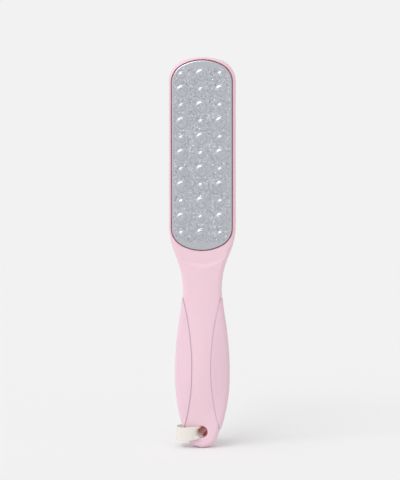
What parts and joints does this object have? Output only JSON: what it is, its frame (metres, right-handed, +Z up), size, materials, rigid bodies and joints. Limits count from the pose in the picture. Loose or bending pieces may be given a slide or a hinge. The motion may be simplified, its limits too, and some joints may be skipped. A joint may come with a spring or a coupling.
{
  "type": "foot file",
  "caption": "Hand-held foot file: moulded paddle with a studded steel rasp plate, a fine pad on its back, soft side grips and a ribbon loop through the end of its handle.",
  "frame": {"origin": "Under the rounded tip of the handle, midway across its width and depth, where the file stands in the picture.", "axes": "+Z runs up from the tip of the handle to the top of the head, the steel plate faces -Y, the fine pad faces +Y, and +X is to the right seen from the front."},
  "size_m": [0.0428, 0.0418, 0.25],
  "materials": {
    "body": "pale pink moulded plastic with a satin surface",
    "steel": "stainless steel with a fine etched tooth",
    "tape": "white foam mounting tape",
    "fine_pad": "fine grey abrasive pad",
    "film": "clear adhesive film",
    "grip": "pale pink soft-touch elastomer, matte",
    "ribbon": "cream woven ribbon",
    "thread": "cream sewing thread"
  },
  "bodies": {
    "file": {"paddle_body": "body", "coarse_plate": "steel", "coarse_plate_tape": "tape", "fine_pad": "fine_pad", "fine_pad_film": "film", "grip_left": "grip", "grip_right": "grip"},
    "ribbon": {"ribbon_loop": "ribbon", "ribbon_tack": "thread"}
  },
  "joints": [
    {"name": "loop_swing", "type": "hinge", "parent": "file", "child": "ribbon", "pos_m": [0, 0, 0.0103], "axis": [0, -1, 0], "range_deg": [0, 180]}
  ]
}
